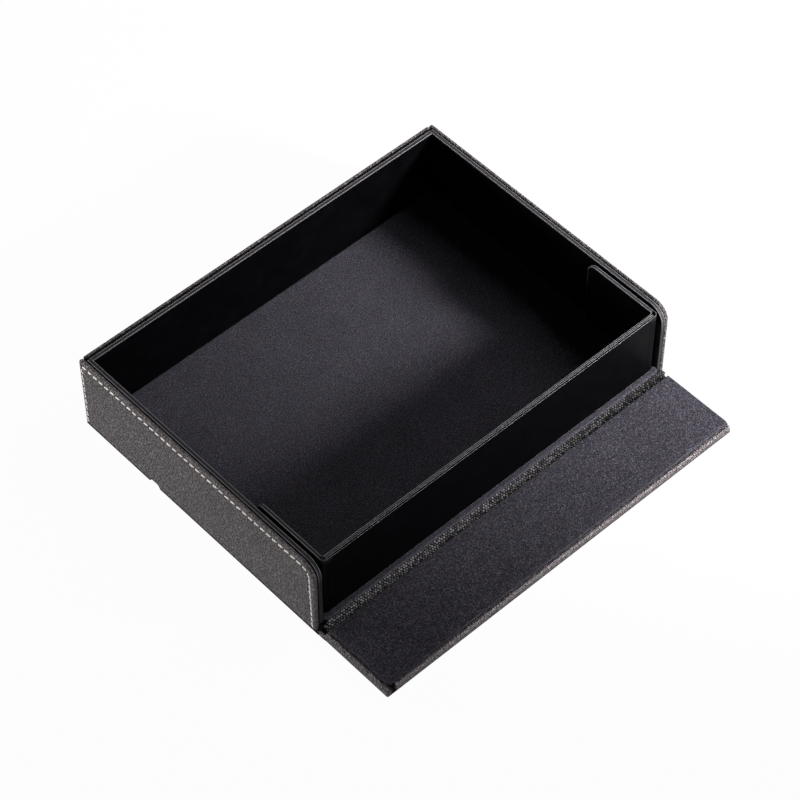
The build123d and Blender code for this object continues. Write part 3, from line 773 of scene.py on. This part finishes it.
def hinge_strip_form():
    """The inner skin across the gap: a strip of coarse pebbles that sags between ledge and flap."""
    x0, x1 = -HINGE_STRIP_END, HINGE_STRIP_END
    ledge, flap = box("hinge_leather")[3], box("hinge_leather")[2]
    high, low = box("floor_felt")[5] - 0.4, box("flap_felt")[5] - 0.4
    share = np.linspace(0, 1, STRIP_STEPS)
    y = ledge + (flap - ledge) * share
    z = high + (low - high) * share - HINGE_SAG * 4 * share * (1 - share)
    run = np.concatenate([[0], np.cumsum(np.hypot(np.diff(y), np.diff(z)))])
    stations = np.linspace(x0, x1, STRIP_STATIONS)
    u, v = np.meshgrid(stations, run, indexing="ij")
    rise = pebbles(u, v, PEBBLE_LENGTH, run[-1] / PEBBLE_ROWS)
    ends = np.clip(np.minimum(u - x0, x1 - u) / 0.5, 0, 1)
    droop = 2.4 * np.clip(1 - np.minimum(stations - x0, x1 - stations) / 2.6, 0, 1) ** 2
    top = z[None] + (rise * PEBBLE_HEIGHT - 0.24) * ends - droop[:, None]
    under = z[None, ::4][:, ::-1] - HINGE_LINING - droop[:, None]
    y_under = y[::4][::-1]
    sections = []
    for k, x in enumerate(stations):
        upper = np.stack([np.full(STRIP_STEPS, x), y, top[k]], 1)
        lower = np.stack([np.full(len(y_under), x), y_under, under[k]], 1)
        sections.append(np.concatenate([upper, lower]))
    points, faces = sweep(sections)
    # painted shade: the pebbles' shade and highlight weaken towards the right end, where the key lamp lights
    # the strip most
    painted_shade_to_right = np.interp(u, (x0, 0.0, x1), (1.0, 0.87, 0.6))
    pebble_shade_and_highlight = np.concatenate([rise * ends * painted_shade_to_right, np.zeros(under.shape)], 1).ravel()
    return points, faces, {"pebble": pebble_shade_and_highlight}


# ------------------------------------------------------------------------------ pieces
panel, seam = panel_form()
wall, tab, corner = wall_form(), tab_form(), corner_form()
for side, turned in (("left", lambda form: form), ("right", mirrored)):
    piece(f"{side}_panel", turned(panel), OUTER, "chest", "outer_leather", f"{side}_panel_leather")
    piece(f"{side}_stitches", turned(seam), THREAD, "chest", "thread", f"{side}_panel_stitching")
    piece(f"{side}_wall", turned(wall), LINING, "chest", "lining", f"{side}_wall_lining")
    piece(f"{side}_tab_wrap", turned(tab), LINING, f"{side}_tab", "lining", f"{side}_tab_lining")
    bend = piece(f"{side}_corner", turned(corner), LINING_BENT, None, "lining", f"{side}_corner_hinge")
    x0, x1, y0, y1, z0, z1 = box(f"{side}_corner_hinge")
    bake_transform(bend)

piece("back_panel", back_panel_form(), OUTER, "chest", "outer_leather", "back_panel_leather")
piece("back_wall", back_wall_form(), LINING, "chest", "lining", "back_wall_lining")
piece("front_wall_wrap", front_wall_form(), LINING, "front_wall", "lining", "front_wall_lining")
piece("floor", floor_form(), FELT, "chest", "felt", "floor_felt")
piece("bottom_skin", bottom_form(), OUTER, "chest", "outer_leather", "bottom_leather")
piece("flap_skin", flap_leather_form(), OUTER, "flap", "outer_leather", "flap_leather")
piece("flap_face", flap_felt_form(), FELT, "flap", "felt", "flap_felt")

x0, x1, y0, y1, z0, z1 = box("hinge_leather")
for name, form, material, slot, node in (
        ("hinge_skin", hinge_skin_form(), OUTER_BENT, "outer_leather", "hinge_leather"),
        ("hinge_strip", hinge_strip_form(), PEBBLED, "hinge_leather", "hinge_lining")):
    bend = piece(name, form, material, None, slot, node)
    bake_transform(bend)

for name, node in nodes.items():
    if "board" in name or "magnet" in name:
        node.data.materials.clear()
        # painted shade: boards of the floor, the bottom and the flap are near-black instead of greyboard, so
        # that where they show through gaps they read as shadow
        board_in_shade = name.startswith(("bottom", "floor", "flap"))
        node.data.materials.append(METAL if "magnet" in name else BOARD_IN_SHADE if board_in_shade else BOARD)


# ------------------------------------------------------------------------------ stage, light, camera
def white_rays(tree):
    """1 for rays that should meet the white studio: camera, glossy and transmission."""
    path = add(tree, "ShaderNodeLightPath")
    seen = maths(tree, "MAXIMUM", path.outputs["Is Camera Ray"], path.outputs["Is Glossy Ray"])
    return maths(tree, "MAXIMUM", seen, path.outputs["Is Transmission Ray"])


def table_top():
    made, tree, shader = new_material("table")
    shader.inputs["Base Color"].default_value = (0.86, 0.86, 0.86, 1)
    shader.inputs["Roughness"].default_value = 1.0
    shader.inputs["Specular IOR Level"].default_value = 0.0
    glow = add(tree, "ShaderNodeEmission", {"Color": (1, 1, 1, 1), "Strength": 1.0})
    share = maths(tree, "MULTIPLY", white_rays(tree), 0.97)
    mix = add(tree, "ShaderNodeMixShader", {0: share, 1: shader.outputs[0], 2: glow.outputs[0]})
    tree.links.new(mix.outputs[0], tree.nodes["Material Output"].inputs["Surface"])
    mesh = bpy.data.meshes.new("table")
    corners = [(sx * TABLE_REACH, sy * TABLE_REACH, 0) for sx, sy in ((-1, -1), (1, -1), (1, 1), (-1, 1))]
    mesh.from_pydata(corners, [], [(0, 1, 2, 3)])
    mesh.materials.append(made)
    table = bpy.data.objects.new("table", mesh)
    table.location.z = -TABLE_DROP
    bpy.context.scene.collection.objects.link(table)


def world_light():
    """White to the camera; light that is strong near the horizon and faint overhead, as in a tent."""
    world = bpy.data.worlds.new("studio")
    world.use_nodes = True
    bpy.context.scene.world = world
    tree = world.node_tree
    tree.nodes.clear()
    direction = add(tree, "ShaderNodeTexCoord").outputs["Generated"]
    height = add(tree, "ShaderNodeSeparateXYZ", {0: direction}).outputs["Z"]
    level = ramp(tree, height, [(0.0, 1.0), (0.06, 0.8), (0.14, 0.02), (1.0, 0.003)])
    soft = add(tree, "ShaderNodeBackground", {"Color": level, "Strength": 3.0})
    white = add(tree, "ShaderNodeBackground", {"Color": (1, 1, 1, 1), "Strength": 1.0})
    mix = add(tree, "ShaderNodeMixShader", {0: white_rays(tree), 1: soft.outputs[0], 2: white.outputs[0]})
    out = add(tree, "ShaderNodeOutputWorld")
    tree.links.new(mix.outputs[0], out.inputs["Surface"])


def lamp(name, kind, place, target, power, **settings):
    data = bpy.data.lights.new(name, kind)
    data.energy = power
    for key, value in settings.items():
        setattr(data, key, value)
    made = bpy.data.objects.new(name, data)
    made.location = place
    made.rotation_euler = (Vector(target) - Vector(place)).to_track_quat("-Z", "Y").to_euler()
    made.visible_camera = False
    bpy.context.scene.collection.objects.link(made)


def camera():
    data = bpy.data.cameras.new("camera")
    data.lens, data.sensor_width = LENS, SENSOR
    made = bpy.data.objects.new("camera", data)
    made.location = CAMERA_PLACE
    made.rotation_euler = (Vector(CAMERA_TARGET) - made.location).to_track_quat("-Z", "Y").to_euler()
    bpy.context.scene.collection.objects.link(made)
    bpy.context.scene.camera = made


table_top()
world_light()
lamp("key", "SPOT", (0.373, -0.516, 0.28), (0.25, 0.016, 0.0), 58.0,
     spot_size=math.radians(67), spot_blend=1.0, shadow_soft_size=0.06)
lamp("overhead", "AREA", (0.408, -0.127, 0.428), (0.0, 0.0, 0.0), 1.2, shape="SQUARE", size=0.314)
lamp("side", "AREA", (-0.5, 0.62, 0.08), (-0.1, 0.0, 0.02), 6.6, shape="RECTANGLE", size=0.25, size_y=0.08)
camera()
bpy.context.scene.view_settings.view_transform = "Standard"
